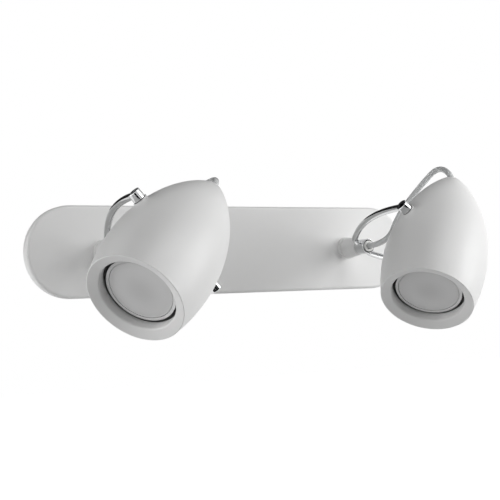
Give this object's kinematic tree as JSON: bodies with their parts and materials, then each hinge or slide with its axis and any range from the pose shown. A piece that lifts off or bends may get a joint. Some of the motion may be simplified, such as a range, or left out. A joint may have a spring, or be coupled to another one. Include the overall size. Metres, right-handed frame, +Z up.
{
  "type": "wall spotlight",
  "caption": "wall spotlight: long plate with round ends, swivelling stems, chrome yokes and tilting bullet-shaped lamp heads, each fed by a clear cable looping into its nose",
  "frame": {"origin": "on the wall, at the middle of the plate", "axes": "+X along the plate to the right for someone facing the wall, +Y into the wall, +Z up"},
  "size_m": [0.3594, 0.1941, 0.1338],
  "materials": {
    "white_paint": "satin white paint",
    "chrome": "polished",
    "steel": "zinc plated",
    "dark_steel": "black oxide",
    "nylon": "natural nylon",
    "dark_nylon": "black nylon",
    "clear_pvc": "clear over tinned strands",
    "connector_plastic": "moulded",
    "wire_insulation": "moulded",
    "lamp_body": "smooth white",
    "lamp_lens": "frosted",
    "brass": "bare",
    "holder_ceramic": "unglazed"
  },
  "bodies": {
    "base": {"face_plate": "white_paint", "wall_bracket": "steel", "plate_screws": "steel", "wire_connectors": "connector_plastic", "base_collar_left": "white_paint", "swivel_washer_left": "nylon", "stop_pin_left": "steel", "swivel_spindle_left": "steel", "lock_washer_left": "steel", "spindle_nut_left": "steel", "core_wires_left": "wire_insulation", "base_collar_right": "white_paint", "swivel_washer_right": "nylon", "stop_pin_right": "steel", "swivel_spindle_right": "steel", "lock_washer_right": "steel", "spindle_nut_right": "steel", "core_wires_right": "wire_insulation"},
    "left_yoke": {"stem_cone_left": "white_paint", "yoke_left": "chrome", "pivot_barrels_left": "chrome", "exit_bush_left": "nylon", "supply_cable_left": "clear_pvc"},
    "left_head": {"head_shell_left": "white_paint", "front_ring_left": "white_paint", "lamp_body_left": "lamp_body", "lamp_lens_left": "lamp_lens", "lamp_pins_left": "brass", "lamp_holder_left": "holder_ceramic", "holder_plate_left": "steel", "holder_screws_left": "steel", "holder_plate_screws_left": "steel", "pivot_screws_left": "dark_steel", "pivot_washers_left": "dark_nylon", "pivot_nuts_left": "steel", "nose_bush_left": "nylon", "lamp_leads_left": "wire_insulation"},
    "right_yoke": {"stem_cone_right": "white_paint", "yoke_right": "chrome", "pivot_barrels_right": "chrome", "exit_bush_right": "nylon", "supply_cable_right": "clear_pvc"},
    "right_head": {"head_shell_right": "white_paint", "front_ring_right": "white_paint", "lamp_body_right": "lamp_body", "lamp_lens_right": "lamp_lens", "lamp_pins_right": "brass", "lamp_holder_right": "holder_ceramic", "holder_plate_right": "steel", "holder_screws_right": "steel", "holder_plate_screws_right": "steel", "pivot_screws_right": "dark_steel", "pivot_washers_right": "dark_nylon", "pivot_nuts_right": "steel", "nose_bush_right": "nylon", "lamp_leads_right": "wire_insulation"}
  },
  "joints": [
    {"name": "left_swivel", "type": "hinge", "parent": "base", "child": "left_yoke", "pos_m": [-0.1144, 0, 0], "axis": [0, -1, 0], "range_deg": [-165, 165]},
    {"name": "left_tilt", "type": "hinge", "parent": "left_yoke", "child": "left_head", "pos_m": [-0.1144, -0.1367, 0], "axis": [0.6665, 0, -0.7455], "range_deg": [-45, 25], "deforming": ["supply_cable_left"]},
    {"name": "right_swivel", "type": "hinge", "parent": "base", "child": "right_yoke", "pos_m": [0.1144, 0, 0], "axis": [0, -1, 0], "range_deg": [-165, 165]},
    {"name": "right_tilt", "type": "hinge", "parent": "right_yoke", "child": "right_head", "pos_m": [0.1144, -0.1367, 0], "axis": [0.8039, 0, -0.5948], "range_deg": [-45, 25], "deforming": ["supply_cable_right"]}
  ]
}
